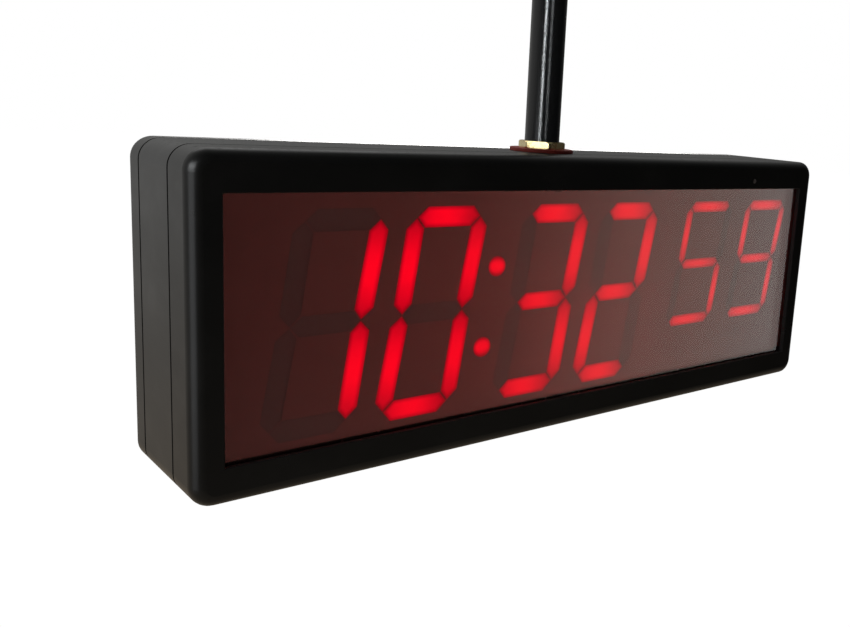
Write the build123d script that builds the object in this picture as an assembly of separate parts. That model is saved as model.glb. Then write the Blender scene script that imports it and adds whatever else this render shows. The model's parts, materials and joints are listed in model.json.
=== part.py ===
from build123d import *
import os
from math import cos, radians, sin

# Ceiling-hung six-digit LED timer: a three-section plastic case on a steel drop tube.
# Row frame: origin on the tube's axis at the ceiling flange's top face, +Z up, display facing -Y,
# +X to the viewer's right. Everything in the case is drawn in the case frame, whose origin is the
# middle of the case, and moved into the row frame on export. Millimetres throughout.

# ---------------------------------------------------------------- driving dimensions
CASE_W = 430.0
CASE_H = 155.0
CASE_D = 77.0
CORNER_R = 10.0
WALL = 3.0
FRONT_EDGE_R = 6.0
REAR_EDGE_R = 5.0
BEZEL_DEPTH = 23.5
COVER_DEPTH = 16.0
SEAM_GAP = 1.5
SEAM_DEEP = 1.2
TONGUE = 3.0
TONGUE_WALL = 1.6
FIT_GAP = 0.1
OPENING_CHAMFER = 0.35

WINDOW_W = 402.0
WINDOW_H = 119.0
WINDOW_Z = -0.4
BEZEL_FACE = 2.6
TAPE = 0.2
ACRYLIC = 3.0
ACRYLIC_LAP = 3.0

TUBE_X = -4.5
TUBE_R = 10.0
TUBE_BORE_R = 8.5
TUBE_FIT = 0.06
DROP = 250.0

# Digit rows: tip-to-tip width, half height between tips, stroke of flat and upright segments.
BIG = {"width": 37.6, "half": 48.3, "flat": 10.4, "upright": 10.0, "z": -2.4}
SMALL = {"width": 38.4, "half": 36.8, "flat": 6.9, "upright": 6.0, "z": 10.4}
WAIST = 1.2
SLANT = 0.172
MITRE_GAP = 0.7
BIG_X = [-152.1, -94.8, -23.9, 33.5]
SMALL_X = [108.0, 167.0]
COLON_X = -59.6
COLON_Z = -3.0
COLON_HALF = 21.6
COLON_R = 5.5

REFLECTOR_W = 400.0
REFLECTOR_H = 120.0
FLANGE_W = 418.0
FLANGE_H = 116.0

SENSOR_X = 148.9
SENSOR_Z = 64.5
SENSOR_R = 1.85

# ---------------------------------------------------------------- depths through the case
FRONT = -CASE_D / 2
BACK = CASE_D / 2
FRONT_SEAM = FRONT + BEZEL_DEPTH
REAR_SEAM = BACK - COVER_DEPTH
FACE_BACK = FRONT + BEZEL_FACE
GLASS_FRONT = FACE_BACK + TAPE
GLASS_BACK = GLASS_FRONT + ACRYLIC
REFLECTOR_FRONT = GLASS_BACK + 1.2
DISPLAY_PCB_FRONT = -19.5
PCB = 1.6
DISPLAY_PCB_BACK = DISPLAY_PCB_FRONT + PCB
COVER_INSIDE = BACK - WALL
BOARD_BACK = 27.1
BOARD_FRONT = BOARD_BACK - PCB
TOP = CASE_H / 2
CAVITY_TOP = TOP - WALL

# ---------------------------------------------------------------- screws, boards and rear panel
CORNERS = [(-1, -1), (-1, 1), (1, -1), (1, 1)]
CASE_SCREW_PLACES = ((203.5, 65.5), (70.0, 68.0))
CASE_SCREWS = [(sx * x, sz * z) for x, z in CASE_SCREW_PLACES for sx, sz in CORNERS]
SCREW_BOSS_R = 5.5
SCREW_CLEAR_R = 2.25
SCREW_HEAD_WELL_R = 4.2
PCB_SCREWS = [(x, z) for x in (-186.0, 0.0, 186.0) for z in (-67.0, 67.0)]
CONTROLLER = {"x": -115.0, "z": -8.0, "w": 130.0, "h": 96.0}
SUPPLY = {"x": 105.0, "z": -8.0, "w": 106.0, "h": 84.0}
BUTTONS = {"mode": -160.0, "down": -138.0, "up": -116.0, "start": -94.0}
BUTTON_Z = -30.0
BUTTON_R = 3.52
BUTTON_HOLE_R = 3.6
PANEL_W = 92.0
PANEL_H = 20.0
PANEL_DEEP = 2.0
ROCKER_X = 185.0
ROCKER_Z = -30.0
ROCKER_RECESS = 3.0
ROCKER_TILT = 7.0
ROCKER_PIVOT_Y = 32.0
ROCKER_PIN_R = 1.5
ROCKER_W = 9.9
SWITCH_W = 12.9
SWITCH_H = 19.1
SWITCH_FRONT = 19.0
VENT_BANKS = (-105.0, 105.0)
VENT_PITCH = 9.0
VENT_W = 3.0
VENT_H = 18.0
VENT_Z = 53.0
BUZZER_X = -70.0
BUZZER_Z = 22.0


# ---------------------------------------------------------------- small helpers
def slab(sketch, y_front, y_back):
    """A flat outline drawn in X and Z, run from y_front to y_back."""
    back = Plane(origin=(0, y_back, 0), x_dir=(1, 0, 0), z_dir=(0, -1, 0))
    return extrude(back * sketch, y_back - y_front)


def rod(x, z, radius, y_front, y_back):
    return slab(Pos(x, z) * Circle(radius), y_front, y_back)


def block(x, z, width, height, y_front, y_back, corner=0.0):
    outline = RectangleRounded(width, height, corner) if corner else Rectangle(width, height)
    return slab(Pos(x, z) * outline, y_front, y_back)


def ring(width, height, corner, band, y_front, y_back):
    """A rounded rectangular band, its outer size given and its thickness inwards."""
    outer = RectangleRounded(width, height, corner)
    inner = RectangleRounded(width - 2 * band, height - 2 * band, corner - band)
    return slab(outer - inner, y_front, y_back)


def post(radius, z_low, z_high, x=TUBE_X, y=0.0):
    """An upright cylinder between two heights."""
    return Pos(x, y, (z_low + z_high) / 2) * Cylinder(radius, z_high - z_low)


def group(solids):
    return Compound(children=list(solids))


def cable(points, start, end, radius):
    """A round cable along a smooth path, with its end directions given."""
    path = Spline(*points, tangents=[start, end])
    return sweep(Plane(path @ 0, z_dir=path % 0) * Circle(radius), path=path)


# ---------------------------------------------------------------- case
def case_outline(inset=0.0):
    return RectangleRounded(CASE_W - 2 * inset, CASE_H - 2 * inset, CORNER_R - inset)


def seam_cut(y_front, y_back):
    """The material taken off the outside edge where two sections meet."""
    return slab(case_outline(-1.0) - case_outline(SEAM_DEEP), y_front, y_back)


def tongue(y_seam):
    """The thin lip that locates a section inside the one in front, and the root that ties it to its wall."""
    inner_w = CASE_W - 2 * WALL
    inner_h = CASE_H - 2 * WALL
    corner = CORNER_R - WALL
    gap = FIT_GAP
    lip = ring(inner_w - 2 * gap, inner_h - 2 * gap, corner - gap, TONGUE_WALL, y_seam - TONGUE, y_seam)
    overlap = 0.5
    root_band = TONGUE_WALL + gap + overlap
    root = ring(inner_w + 2 * overlap, inner_h + 2 * overlap, corner + overlap, root_band, y_seam, y_seam + 4)
    return lip + root


def boss_rib(x, z, y_front, y_back):
    """Two webs that tie a screw boss to the nearest case walls."""
    reach_z = CAVITY_TOP + 0.5 - abs(z)
    side = 1 if z > 0 else -1
    webs = block(x, z + side * reach_z / 2, 3.0, reach_z, y_front, y_back)
    if abs(x) > CASE_W / 3:
        reach_x = CASE_W / 2 - WALL + 0.5 - abs(x)
        flank = 1 if x > 0 else -1
        webs += block(x + flank * reach_x / 2, z, reach_x, 3.0, y_front, y_back)
    return webs


def front_bezel():
    shell = slab(case_outline(), FRONT, FRONT_SEAM)
    shell = fillet(shell.faces().sort_by(Axis.Y)[0].edges(), FRONT_EDGE_R)
    shell -= slab(case_outline(WALL), FACE_BACK, FRONT_SEAM)
    opening = block(0, WINDOW_Z, WINDOW_W, WINDOW_H, FRONT - 1, FACE_BACK)
    shell -= opening
    front_face = shell.faces().sort_by(Axis.Y)[0]
    shell = chamfer(front_face.inner_wires()[0].edges(), OPENING_CHAMFER)
    boss_back = FRONT_SEAM - TONGUE - 0.2
    for x, z in CASE_SCREWS:
        shell += rod(x, z, SCREW_BOSS_R, GLASS_BACK + 0.5, boss_back)
        shell += boss_rib(x, z, GLASS_BACK + 0.5, boss_back)
        shell -= rod(x, z, 2.02, GLASS_BACK + 3.5, boss_back)
    for x, z in PCB_SCREWS:
        shell += rod(x, z, 3.5, FACE_BACK, DISPLAY_PCB_FRONT)
        shell -= rod(x, z, 1.52, DISPLAY_PCB_FRONT - 9, DISPLAY_PCB_FRONT)
    shell -= rod(SENSOR_X, SENSOR_Z, SENSOR_R + 0.05, FRONT - 1, FACE_BACK)
    return shell - seam_cut(FRONT_SEAM - SEAM_GAP / 2, FRONT_SEAM)


def mid_housing():
    shell = slab(case_outline() - case_outline(WALL), FRONT_SEAM, REAR_SEAM)
    shell += tongue(FRONT_SEAM)
    sleeve_front = FRONT_SEAM - TONGUE
    sleeve_back = REAR_SEAM - TONGUE - 0.2
    for x, z in CASE_SCREWS:
        shell += rod(x, z, SCREW_BOSS_R, sleeve_front, sleeve_back)
        shell += boss_rib(x, z, FRONT_SEAM, sleeve_back)
    shell += post(14.0, CAVITY_TOP - 3, CAVITY_TOP + 0.5)
    for x, z in CASE_SCREWS:
        shell -= rod(x, z, SCREW_CLEAR_R, sleeve_front, sleeve_back)
    shell -= post(TUBE_R + TUBE_FIT, CAVITY_TOP - 4, TOP + 1)
    shell -= seam_cut(FRONT_SEAM, FRONT_SEAM + SEAM_GAP / 2)
    return shell - seam_cut(REAR_SEAM - SEAM_GAP / 2, REAR_SEAM)


def vent_slots():
    slots = []
    for bank_x in VENT_BANKS:
        for step in range(-5, 6):
            x = bank_x + VENT_PITCH * step
            slots.append(block(x, VENT_Z, VENT_W, VENT_H, COVER_INSIDE - 1, BACK + 1, 1.4))
    return slots


def sound_holes():
    places = [(0.0, 0.0)] + [(4.5 * cos(radians(a)), 4.5 * sin(radians(a))) for a in range(0, 360, 60)]
    return [rod(BUZZER_X + dx, BUZZER_Z + dz, 1.0, COVER_INSIDE - 1, BACK + 1) for dx, dz in places]


def board_screw_places(board):
    inset = 5.0
    reach_x = board["w"] / 2 - inset
    reach_z = board["h"] / 2 - inset
    return [(board["x"] + sx * reach_x, board["z"] + sz * reach_z) for sx, sz in CORNERS]


def rear_cover():
    shell = slab(case_outline(), REAR_SEAM, BACK)
    shell = fillet(shell.faces().sort_by(Axis.Y)[-1].edges(), REAR_EDGE_R)
    shell -= slab(case_outline(WALL), REAR_SEAM, COVER_INSIDE)
    shell += tongue(REAR_SEAM)
    for x, z in CASE_SCREWS:
        shell += rod(x, z, 6.0, REAR_SEAM - TONGUE, COVER_INSIDE + 0.5)
    # Button panel and power switch recess, each with a pad inside that keeps the wall thick.
    panel_x = sum(BUTTONS.values()) / len(BUTTONS)
    panel_floor = BACK - PANEL_DEEP
    pad = 2 * WALL
    shell += block(panel_x, BUTTON_Z, PANEL_W + pad, PANEL_H + pad, panel_floor - WALL, COVER_INSIDE + 0.5)
    shell -= block(panel_x, BUTTON_Z, PANEL_W, PANEL_H, panel_floor, BACK + 1, 3)
    for x in BUTTONS.values():
        shell -= rod(x, BUTTON_Z, BUTTON_HOLE_R, panel_floor - WALL - 1, BACK)
    switch_floor = BACK - ROCKER_RECESS
    shell += block(ROCKER_X, ROCKER_Z, 28, 34, switch_floor - 2.5, COVER_INSIDE + 0.5)
    shell -= block(ROCKER_X, ROCKER_Z, 22, 28, switch_floor, BACK + 1, 3)
    shell -= block(ROCKER_X, ROCKER_Z, SWITCH_W + 0.2, SWITCH_H + 0.2, switch_floor - 4, BACK)
    for board in (CONTROLLER, SUPPLY):
        for x, z in board_screw_places(board):
            shell += rod(x, z, 3.2, BOARD_BACK, COVER_INSIDE + 0.5)
            shell -= rod(x, z, 1.27, BOARD_BACK, BOARD_BACK + 8)
    for x, z in CASE_SCREWS:
        shell -= rod(x, z, SCREW_CLEAR_R, REAR_SEAM - TONGUE - 1, BACK)
        shell -= rod(x, z, SCREW_HEAD_WELL_R, BOARD_BACK, BACK + 1)
    for hole in vent_slots() + sound_holes():
        shell -= hole
    return shell - seam_cut(REAR_SEAM, REAR_SEAM + SEAM_GAP / 2)


def pan_screw(x, z, shank_r, head_r, head_h, y_tip, y_seat):
    """A pan-head machine screw whose head faces +Y, with a cross recess."""
    head = rod(x, z, head_r, y_seat, y_seat + head_h)
    head = fillet(head.faces().sort_by(Axis.Y)[-1].edges(), head_h * 0.45)
    for width, height in ((head_r * 1.1, 0.8), (0.8, head_r * 1.1)):
        head -= block(x, z, width, height, y_seat + head_h * 0.4, y_seat + head_h + 1)
    return head + rod(x, z, shank_r, y_tip, y_seat)


def case_screws():
    return group(pan_screw(x, z, 2.0, 3.8, 2.8, GLASS_BACK + 4, BOARD_BACK) for x, z in CASE_SCREWS)


# ---------------------------------------------------------------- window and sensor
def window_tape():
    outer = Rectangle(WINDOW_W + 2 * ACRYLIC_LAP, WINDOW_H + 2 * ACRYLIC_LAP)
    inner = Rectangle(WINDOW_W + 1, WINDOW_H + 1)
    return slab(Pos(0, WINDOW_Z) * (outer - inner), FACE_BACK, GLASS_FRONT)


def display_window():
    width = WINDOW_W + 2 * ACRYLIC_LAP
    height = WINDOW_H + 2 * ACRYLIC_LAP
    return block(0, WINDOW_Z, width, height, GLASS_FRONT, GLASS_BACK, 1.0)


def sensor_lens():
    lens = rod(SENSOR_X, SENSOR_Z, SENSOR_R, FRONT + 0.1, FACE_BACK + 1.5)
    return fillet(lens.faces().sort_by(Axis.Y)[0].edges(), 0.8)


def ir_receiver():
    body_front = GLASS_BACK + 0.5
    body = block(SENSOR_X, SENSOR_Z, 6.8, 6.6, body_front + 1.6, body_front + 5.6, 0.6)
    body += rod(SENSOR_X, SENSOR_Z, 2.6, body_front, body_front + 1.6)
    for step in (-2.54, 0, 2.54):
        body += block(SENSOR_X + step, SENSOR_Z - 1.5, 0.6, 0.5, body_front + 5.6, DISPLAY_PCB_FRONT)
    return body


# ---------------------------------------------------------------- seven-segment display
def segment_points(row, name, gap):
    """The six corners of one segment, before the slant, round the digit's own centre."""
    half_w = row["width"] / 2
    half_h = row["half"]
    thick_f = row["flat"] / 2
    thick_u = row["upright"] / 2
    level = {"a": half_h, "g": 0.0, "d": -half_h}
    if name in level:
        reach = half_w - (WAIST if name == "g" else 0.0) - gap
        z = level[name]
        edge = thick_f - (gap if name == "g" else 0.0)
        return [
            (-reach, z),
            (-reach + thick_u, z + edge),
            (reach - thick_u, z + edge),
            (reach, z),
            (reach - thick_u, z - edge),
            (-reach + thick_u, z - edge),
        ]
    x = half_w if name in "bc" else -half_w
    low, high = (gap, half_h - gap) if name in "bf" else (gap - half_h, -gap)
    waist = WAIST if x < 0 else -WAIST
    waist_low = waist if name in "bf" else 0.0
    waist_high = 0.0 if name in "bf" else waist
    return [
        (x + waist_low, low),
        (x + thick_u + waist_low * 0.5, low + thick_f),
        (x + thick_u + waist_high * 0.5, high - thick_f),
        (x + waist_high, high),
        (x - thick_u + waist_high * 0.5, high - thick_f),
        (x - thick_u + waist_low * 0.5, low + thick_f),
    ]


def segment(row, x, name, y_front, y_back, grow=0.0):
    slanted = [(x + px + SLANT * pz, row["z"] + pz) for px, pz in segment_points(row, name, MITRE_GAP / 2)]
    outline = make_face(Polyline(*slanted, close=True))
    if grow:
        outline = offset(outline, grow, kind=Kind.INTERSECTION)
    return slab(outline, y_front, y_back)


LIT = ["bc", "abcdef", "abcdg", "abged", "afgcd", "abcdfg"]
DIGITS = [(BIG, x) for x in BIG_X] + [(SMALL, x) for x in SMALL_X]
PAIRS = {"hours": (0, 1), "minutes": (2, 3), "seconds": (4, 5)}
DIFFUSER_BACK = REFLECTOR_FRONT + 5.0


def diffusers(pair, lit):
    """The light-guide inserts of one pair of digits: the ones that glow, or the ones that don't."""
    solids = []
    for index in PAIRS[pair]:
        row, x = DIGITS[index]
        for name in "abcdefg":
            if (name in LIT[index]) == lit:
                solids.append(segment(row, x, name, REFLECTOR_FRONT, DIFFUSER_BACK))
    return group(solids)


def colon_places():
    return [(COLON_X + SLANT * side * COLON_HALF, COLON_Z + side * COLON_HALF) for side in (-1, 1)]


def colon_dots():
    return group(rod(x, z, COLON_R, REFLECTOR_FRONT, DIFFUSER_BACK) for x, z in colon_places())


PEGS = [(x, z) for x in (-190.0, 75.0, 190.0) for z in (-57.0, 57.0)]
PEG_R = 1.4
WELL_GAP = 0.03


def reflector_frame():
    """A plate with a well for each segment; flanges at its ends reach past the window's edges."""
    plate = block(0, 0, REFLECTOR_W, REFLECTOR_H, REFLECTOR_FRONT, DISPLAY_PCB_FRONT, 2)
    plate += block(0, 0, FLANGE_W, FLANGE_H, REFLECTOR_FRONT, REFLECTOR_FRONT + 2, 2)
    for row, x in DIGITS:
        for name in "abcdefg":
            plate -= segment(row, x, name, REFLECTOR_FRONT - 1, DISPLAY_PCB_FRONT + 1, WELL_GAP)
    for x, z in colon_places():
        plate -= rod(x, z, COLON_R + WELL_GAP, REFLECTOR_FRONT - 1, DISPLAY_PCB_FRONT + 1)
    for x, z in PEGS:
        plate += rod(x, z, PEG_R, DISPLAY_PCB_FRONT, DISPLAY_PCB_BACK + 1)
    return plate


def display_leds():
    """Two small LED packages behind each segment and one behind each colon dot."""
    places = [(x, z) for x, z in colon_places()]
    for row, x in DIGITS:
        half_w = row["width"] / 2
        half_h = row["half"]
        for level in (-half_h, 0.0, half_h):
            places += [(x + dx + SLANT * level, row["z"] + level) for dx in (-7, 7)]
        for side in (-half_w, half_w):
            for middle in (-half_h / 2, half_h / 2):
                for dz in (-9, 9):
                    level = middle + dz
                    places.append((x + side + SLANT * level, row["z"] + level))
    led_front = DISPLAY_PCB_FRONT - 1.4
    return group(block(x, z, 3.2, 2.8, led_front, DISPLAY_PCB_FRONT) for x, z in places)


def display_pcb():
    board = block(0, 0, 394, 142, DISPLAY_PCB_FRONT, DISPLAY_PCB_BACK, 2)
    for x, z in CASE_SCREWS:
        if abs(x) < 190:
            board -= rod(x, z, 6.5, DISPLAY_PCB_FRONT - 1, DISPLAY_PCB_BACK + 1)
    for x, z in PCB_SCREWS:
        board -= rod(x, z, 1.7, DISPLAY_PCB_FRONT - 1, DISPLAY_PCB_BACK + 1)
    for x, z in PEGS:
        board -= rod(x, z, PEG_R + 0.05, DISPLAY_PCB_FRONT - 1, DISPLAY_PCB_BACK + 1)
    return board


def display_screws():
    return group(
        pan_screw(x, z, 1.5, 2.8, 2.0, DISPLAY_PCB_FRONT - 8, DISPLAY_PCB_BACK) for x, z in PCB_SCREWS
    )


def chip(x, z, length, width, height, y_board, toward, legs):
    """A moulded chip with two rows of legs; toward is -1 for a chip on the board's front face."""
    y_far = y_board + toward * (height + 0.3)
    y_near = y_board + toward * 0.3
    low, high = sorted((y_near, y_far))
    body = block(x, z, length, width, low, high, 0.4)
    middle = (low + high) / 2
    foot_low, foot_high = sorted((y_board, y_near + toward * 0.5))
    pitch = (length - 3) / (legs - 1)
    for i in range(legs):
        leg_x = x - length / 2 + 1.5 + i * pitch
        for side in (-1, 1):
            body += block(leg_x, z + side * (width / 2 + 0.5), 0.7, 1.4, middle - 0.3, middle + 0.3)
            leg_low, leg_high = min(foot_low, middle), max(foot_high, middle)
            body += block(leg_x, z + side * (width / 2 + 1.2), 0.7, 0.5, leg_low, leg_high)
    return body


def driver_chips():
    places = [(x, z) for x in (-150.0, -95.0, 30.0, 105.0, 165.0) for z in (30.0, -40.0)]
    return group(chip(x, z, 18, 7.5, 2.4, DISPLAY_PCB_BACK, 1, 8) for x, z in places)


# ---------------------------------------------------------------- controller board and keys
def board_blank(board):
    blank = block(board["x"], board["z"], board["w"], board["h"], BOARD_FRONT, BOARD_BACK, 2)
    for x, z in board_screw_places(board):
        blank -= rod(x, z, 1.7, BOARD_FRONT - 1, BOARD_BACK + 1)
    return blank


def board_screws(board):
    """Pan-head screws driven from the front of the case into the rear cover's posts."""
    solids = []
    for x, z in board_screw_places(board):
        head = rod(x, z, 2.6, BOARD_FRONT - 1.9, BOARD_FRONT)
        head = fillet(head.faces().sort_by(Axis.Y)[0].edges(), 0.8)
        for width, height in ((2.9, 0.7), (0.7, 2.9)):
            head -= block(x, z, width, height, BOARD_FRONT - 3, BOARD_FRONT - 1)
        solids.append(head + rod(x, z, 1.25, BOARD_FRONT, BOARD_BACK + 6))
    return group(solids)


def microcontroller():
    """A wide chip with forty legs."""
    return chip(-130, 20, 52, 14, 4, BOARD_FRONT, -1, 20)


def clock_chip():
    return chip(-160, -6, 11, 7, 2.4, BOARD_FRONT, -1, 4)


CELL_X = -80.0
CELL_Z = -34.0
CELL_R = 10.0
CELL_BACK = BOARD_FRONT - 1.5
CELL_THICK = 3.2


def cell_holder():
    """A round cup for the coin cell, open at one side so that the cell slides out."""
    holder = rod(CELL_X, CELL_Z, CELL_R + 2.5, BOARD_FRONT - 5, BOARD_FRONT)
    holder -= rod(CELL_X, CELL_Z, CELL_R + 0.1, BOARD_FRONT - 6, CELL_BACK)
    return holder - block(CELL_X + 14, CELL_Z, 12, 9, BOARD_FRONT - 6, CELL_BACK)


def coin_cell():
    cell = rod(CELL_X, CELL_Z, CELL_R, CELL_BACK - CELL_THICK, CELL_BACK)
    return chamfer(cell.faces().sort_by(Axis.Y)[0].edges(), 0.5)


def buzzer():
    body = rod(BUZZER_X, BUZZER_Z, 7.0, BOARD_BACK, BOARD_BACK + 7.5)
    body = fillet(body.faces().sort_by(Axis.Y)[-1].edges(), 0.6)
    return body - rod(BUZZER_X, BUZZER_Z, 1.2, BOARD_BACK + 4, BOARD_BACK + 8)


KEY_TOP = BOARD_BACK + 3.6


def key_switches():
    """The square bodies of the four push switches, each with a blind hole for its plunger."""
    solids = []
    for x in BUTTONS.values():
        body = block(x, BUTTON_Z, 6.2, 6.2, BOARD_BACK, KEY_TOP, 0.4)
        solids.append(body - rod(x, BUTTON_Z, 1.76, KEY_TOP - 2.4, KEY_TOP + 1))
    return group(solids)


FLANGE_BACK = BACK - PANEL_DEEP - WALL - FIT_GAP
FLANGE_FRONT = FLANGE_BACK - 1.0


def key_plunger(x):
    return rod(x, BUTTON_Z, 1.7, KEY_TOP - 1.3, FLANGE_FRONT - 0.02)


def key_button(x):
    cap = rod(x, BUTTON_Z, BUTTON_R, FLANGE_BACK, BACK - 0.3)
    cap = fillet(cap.faces().sort_by(Axis.Y)[-1].edges(), 0.9)
    return cap + rod(x, BUTTON_Z, 4.6, FLANGE_FRONT, FLANGE_BACK)


def rocker_pin(radius, reach):
    """A round pin across the power switch, centred on the rocker's pivot."""
    return Pos(ROCKER_X, ROCKER_PIVOT_Y, ROCKER_Z) * Rot(0, 90, 0) * Cylinder(radius, 2 * reach)


def power_switch_body():
    """A snap-in rocker switch housing: rim on the recess floor, body behind it, two blade terminals."""
    rim_front = BACK - ROCKER_RECESS
    body = block(ROCKER_X, ROCKER_Z, 15, 21, rim_front, rim_front + 1.4, 1.5)
    body += block(ROCKER_X, ROCKER_Z, SWITCH_W, SWITCH_H, SWITCH_FRONT, rim_front, 0.8)
    body -= block(ROCKER_X, ROCKER_Z, ROCKER_W + 0.3, 17.2, 28.5, BACK + 1, 0.5)
    body -= rocker_pin(ROCKER_PIN_R + 0.05, SWITCH_W / 2 - 0.45)
    for dz in (-5, 5):
        body += block(ROCKER_X, ROCKER_Z + dz, 0.8, 4.8, SWITCH_FRONT - 7, SWITCH_FRONT)
    return body


def power_rocker():
    """The rocker at its on position, tilted about the pins at its sides."""
    y0 = ROCKER_PIVOT_Y
    profile = [(-7.8, y0 - 1.8), (7.8, y0 - 1.8), (7.8, y0 + 5), (0, y0 + 4.1), (-7.8, y0 + 5)]
    side = Plane(origin=(ROCKER_X - ROCKER_W / 2, 0, 0), x_dir=(0, 0, 1), z_dir=(1, 0, 0))
    points = [(ROCKER_Z + z, -y) for z, y in profile]
    rocker = extrude(side * make_face(Polyline(*points, close=True)), ROCKER_W)
    rocker += rocker_pin(ROCKER_PIN_R, SWITCH_W / 2 - 0.55)
    pivot = Axis((ROCKER_X, ROCKER_PIVOT_Y, ROCKER_Z), (1, 0, 0))
    return rocker.rotate(pivot, ROCKER_TILT)


# ---------------------------------------------------------------- power supply
TRANSFORMER_X = 120.0
TRANSFORMER_Z = -12.0


def transformer():
    """A ferrite core round a taped winding, on a pin carrier."""
    x = TRANSFORMER_X
    z = TRANSFORMER_Z
    core = block(x, z, 26, 22, BOARD_FRONT - 20, BOARD_FRONT - 0.5, 0.8)
    core -= block(x, z, 16, 30, BOARD_FRONT - 17, BOARD_FRONT - 4)
    winding = block(x, z, 17, 26, BOARD_FRONT - 16.5, BOARD_FRONT - 4.5, 3)
    feet = block(x, z, 22, 28, BOARD_FRONT - 3, BOARD_FRONT, 1)
    return core + winding + feet


def smoothing_capacitors():
    """Upright cans, each given as x, z, radius and height."""
    places = ((76, -34, 6.3, 20), (92, -34, 5.0, 16), (140, 18, 5.0, 16), (76, -16, 4.0, 12))
    solids = []
    for x, z, radius, height in places:
        can = rod(x, z, radius, BOARD_FRONT - height, BOARD_FRONT)
        solids.append(fillet(can.faces().sort_by(Axis.Y)[0].edges(), 0.8))
    return group(solids)


FUSE_X = 92.0
FUSE_Z = 22.0


def mains_fuse():
    """A 5 by 20 glass fuse in two clips."""
    tube = Pos(FUSE_X, BOARD_FRONT - 4, FUSE_Z) * Rot(0, 90, 0) * Cylinder(2.5, 20)
    for dx in (-8.5, 8.5):
        tube += block(FUSE_X + dx, FUSE_Z, 3, 5.6, BOARD_FRONT - 6.9, BOARD_FRONT)
    return tube


TERMINAL_X = 60.0
TERMINAL_Z = 10.0
TERMINAL_PITCH = 8.0
CORE_Y = BOARD_FRONT - 4.5


def terminal_block():
    body = block(TERMINAL_X, TERMINAL_Z, 10, 26, BOARD_FRONT - 12, BOARD_FRONT, 0.5)
    for pole in (-1, 0, 1):
        z = TERMINAL_Z + pole * TERMINAL_PITCH
        body -= rod(TERMINAL_X, z, 2.2, BOARD_FRONT - 13, BOARD_FRONT - 8)
        body -= Pos(TERMINAL_X - 4, CORE_Y, z) * Rot(0, 90, 0) * Cylinder(1.9, 6)
    return body


# ---------------------------------------------------------------- wiring
CABLE_R = 3.2
CABLE_SPLIT_Z = 50.0
JACKET_END = (TERMINAL_X - 17, 20.0, TERMINAL_Z + 2)


def supply_cable_lower():
    points = [(TUBE_X, 0, CABLE_SPLIT_Z - FIT_GAP), (4.0, 6.0, 26.0), JACKET_END]
    return cable(points, (0, 0, -1), (1, 0, 0), CABLE_R)


def supply_cores():
    """The stripped cores between the cable's jacket and the terminal block."""
    solids = []
    for pole in (-1, 0, 1):
        start = (JACKET_END[0] + 0.1, JACKET_END[1], JACKET_END[2] + 1.5 * pole)
        end = (TERMINAL_X - 4, CORE_Y, TERMINAL_Z + pole * TERMINAL_PITCH)
        solids.append(cable([start, end], (1, 0, 0), (1, 0, 0), 0.6))
    return group(solids)


def switch_leads():
    solids = []
    for dz in (-5, 5):
        start = (151 + dz, BOARD_FRONT - 0.1, -38)
        middle = (168, 2.0, -34 + dz / 2)
        end = (ROCKER_X, SWITCH_FRONT - 7.1, ROCKER_Z + dz)
        solids.append(cable([start, middle, end], (0, -1, 0), (0, 1, 0), 0.8))
    return group(solids)


def low_voltage_leads():
    solids = []
    for dz in (-2, 2):
        start = (60, BOARD_FRONT - 0.1, -30 + dz)
        middle = (2, 12, -38 + dz)
        end = (-58, BOARD_FRONT - 0.1, -20 + dz)
        solids.append(cable([start, middle, end], (0, -1, 0), (0, 1, 0), 0.8))
    return group(solids)


RIBBON_FRONT_X = -62.0
RIBBON_BACK_X = -88.0
PLUG = 7.0


def ribbon_plugs():
    front = block(RIBBON_FRONT_X, 2, 6, 24, DISPLAY_PCB_BACK, DISPLAY_PCB_BACK + PLUG, 0.5)
    back = block(RIBBON_BACK_X, 2, 6, 24, BOARD_FRONT - PLUG, BOARD_FRONT, 0.5)
    return group([front, back])


def ribbon_cable():
    start = (RIBBON_FRONT_X, DISPLAY_PCB_BACK + PLUG)
    end = (RIBBON_BACK_X, BOARD_FRONT - PLUG)
    path = Spline(start, end, tangents=[(0, 1), (0, 1)], tangent_scalars=[1.6, 1.6])
    band = trace(path, 1.0)
    return Pos(0, 0, 2 - 10) * extrude(band, 20)


# ---------------------------------------------------------------- tube and its fastenings
WASHER = 2.0
NUT = 4.0
NUT_FLAT = 24.0
NUT_TURN = 10.5
FLANGE_R = 33.0
FLANGE_PLATE = 4.0
FLANGE_BOSS_R = 15.0
FLANGE_BOSS_LOW = -20.0
FLANGE_SEAT = -2.0
FLANGE_PCD = 50.0
FLANGE_HOLE_R = 2.6
CEILING_Z = TOP + DROP
TUBE_END_Z = 58.0
PAD_LOW = CAVITY_TOP - 3.0


def hex_nut(z_low, height, flat, turn):
    corner_r = flat / 3**0.5
    prism = extrude(RegularPolygon(corner_r, 6, rotation=turn), height)
    crown = Pos(0, 0, height / 2) * Cylinder(corner_r - 0.35, height)
    crown = chamfer(crown.faces().filter_by(Axis.Z).edges(), 0.7)
    nut = (prism & crown) - Pos(0, 0, height / 2) * Cylinder(TUBE_R + 0.05, height + 1)
    return Pos(TUBE_X, 0, z_low) * nut


def flat_washer(z_low, thickness, outer_r):
    disc = post(outer_r, z_low, z_low + thickness) - post(TUBE_R + 0.1, z_low - 1, z_low + thickness + 1)
    return chamfer(disc.edges().filter_by(GeomType.CIRCLE).sort_by(SortBy.RADIUS)[-2:], thickness * 0.15)


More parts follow.
